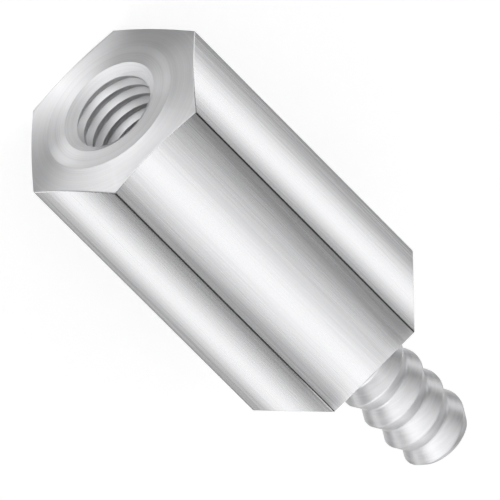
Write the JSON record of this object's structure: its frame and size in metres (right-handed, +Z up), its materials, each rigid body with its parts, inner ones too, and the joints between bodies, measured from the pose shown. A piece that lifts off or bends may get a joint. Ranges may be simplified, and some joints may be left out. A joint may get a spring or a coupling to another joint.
{
  "type": "hex standoff",
  "caption": "Male-female hex standoff: a hexagonal spacer with a tapped hole in one end and a threaded stud on the other, for holding a board or panel off a base.",
  "frame": {"origin": "on the axis, in the plane of the shoulder that the stud stands out of", "axes": "+X along the axis towards the stud's tip, -X out of the tapped hole, +Z up through a flat; the standoff lies on its lower flat"},
  "size_m": [0.0187, 0.0074, 0.0064],
  "materials": {
    "turned_aluminium": "bare, satin drawn flats with turned ends and cut threads"
  },
  "bodies": {
    "root": {"standoff": "turned_aluminium"}
  },
  "joints": []
}
